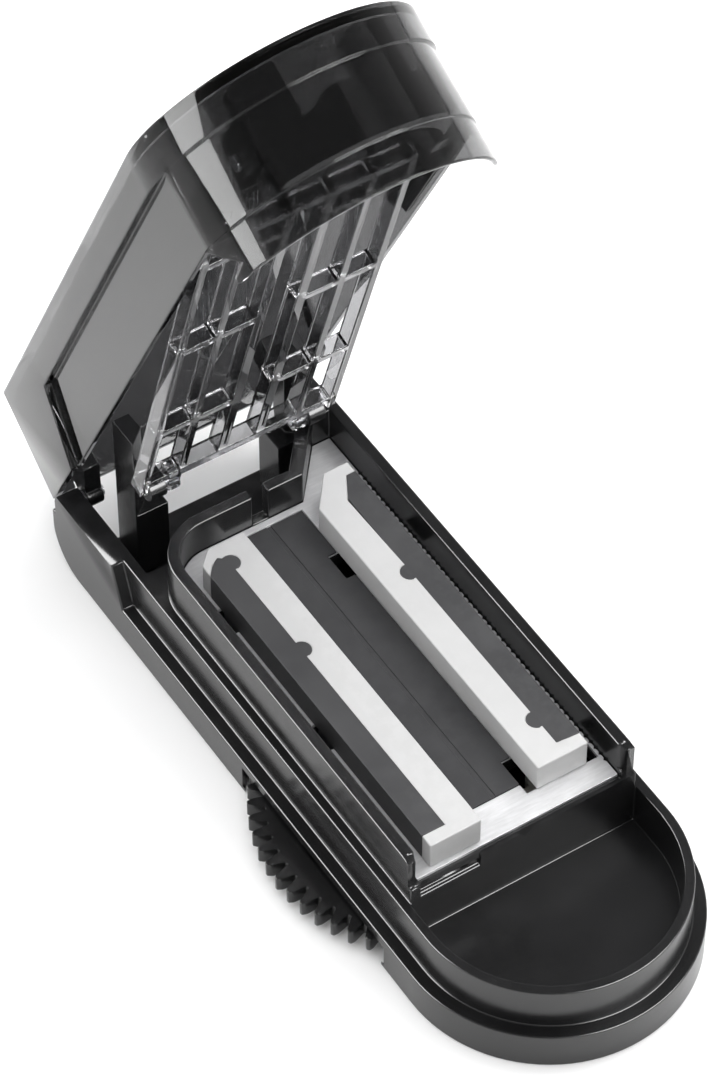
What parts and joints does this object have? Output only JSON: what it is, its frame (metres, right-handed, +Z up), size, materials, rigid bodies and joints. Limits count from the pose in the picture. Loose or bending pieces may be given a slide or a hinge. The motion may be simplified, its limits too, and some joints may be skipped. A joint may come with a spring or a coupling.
{
  "type": "pill splitter",
  "caption": "Pocket splitter for rows of tablets: tray base with centring jaws driven by a thumb wheel, clear hinged lid with blade, slotted blade guard and collecting bin.",
  "frame": {"origin": "on the flat underside, in the middle of the base's length and width", "axes": "+Z up, +Y along the base towards the lid hinge, -Y towards the collecting bin, X across"},
  "size_m": [0.0532, 0.1343, 0.1238],
  "materials": {
    "black_body": "satin moulded",
    "black_part": "fine moulded",
    "steel_plate": "fine brushed",
    "steel_pin": "turned",
    "blade_steel": "ground",
    "dark_holder": "matt moulded",
    "anvil": "matt",
    "white_pad": "soft matt",
    "gear_nylon": "natural nylon",
    "smoke_clear": "polished transparent",
    "clear": "polished transparent"
  },
  "bodies": {
    "base": {"base_shell": "black_body", "bottom_cover": "black_part", "floor_plate": "steel_plate", "anvil_strip": "anvil", "guard_posts": "black_part", "wheel_axle": "steel_pin", "cover_screws": "steel_pin", "hinge_pins": "steel_pin", "guard_pins": "steel_pin"},
    "wheel": {"thumb_wheel": "black_part", "pinion": "gear_nylon"},
    "left_jaw": {"left_jaw_holder": "dark_holder", "left_jaw_pad": "white_pad", "left_rack": "gear_nylon"},
    "right_jaw": {"right_jaw_holder": "dark_holder", "right_jaw_pad": "white_pad", "right_rack": "gear_nylon"},
    "lid": {"lid_shell": "smoke_clear", "lid_arm_left": "black_part", "lid_arm_right": "black_part", "lid_insert": "black_part", "blade_holder": "black_part", "blade": "blade_steel", "blade_screws": "steel_pin"},
    "guard": {"blade_guard": "clear"}
  },
  "joints": [
    {"name": "lid_hinge", "type": "hinge", "parent": "base", "child": "lid", "pos_m": [0, 0.0565, 0.0124], "axis": [-1, 0, 0], "range_deg": [-63.5, 0]},
    {"name": "guard_pivot", "type": "hinge", "parent": "base", "child": "guard", "pos_m": [0, 0.0438, 0.0242], "axis": [-1, 0, 0], "range_deg": [-72.8, 0]},
    {"name": "wheel_spin", "type": "hinge", "parent": "base", "child": "wheel", "pos_m": [-0.0013, -0.0117, 0.003], "axis": [0, 0, 1], "range_deg": [-45.4, 21.8]},
    {"name": "left_jaw_slide", "type": "slide", "parent": "base", "child": "left_jaw", "axis": [-1, 0, 0], "range_m": [-0.005, 0.0024]},
    {"name": "right_jaw_slide", "type": "slide", "parent": "base", "child": "right_jaw", "axis": [1, 0, 0], "range_m": [-0.005, 0.0024]}
  ],
  "couplings": [
    {"joint": "guard_pivot", "follows": "lid_hinge", "ratio": 1.1464},
    {"joint": "left_jaw_slide", "follows": "wheel_spin", "m_per_rad": 0.0063},
    {"joint": "right_jaw_slide", "follows": "wheel_spin", "m_per_rad": 0.0063}
  ]
}
